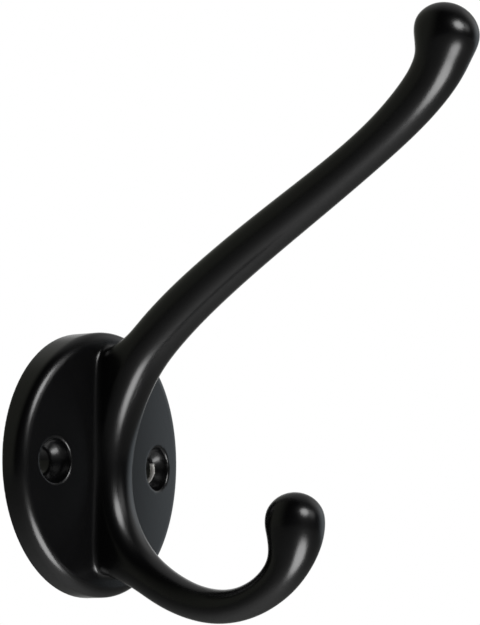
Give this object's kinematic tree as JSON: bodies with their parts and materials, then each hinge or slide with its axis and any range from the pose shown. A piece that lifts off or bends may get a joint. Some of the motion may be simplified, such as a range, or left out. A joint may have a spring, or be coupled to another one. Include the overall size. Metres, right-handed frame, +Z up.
{
  "type": "coat hook",
  "caption": "Cast hat and coat hook: a round screw-on wall plate with a long upper arm and a short upturned lower arm, each ending in a ball.",
  "frame": {"origin": "centre of the round plate's back face, on the wall", "axes": "+Z up, +X to the right seen from the room, +Y into the wall, so the hook stands out along -Y"},
  "size_m": [0.042, 0.0735, 0.0929],
  "materials": {
    "black_coat": "satin black coat over cast zinc alloy"
  },
  "bodies": {
    "root": {"coat_hook": "black_coat"}
  },
  "joints": []
}
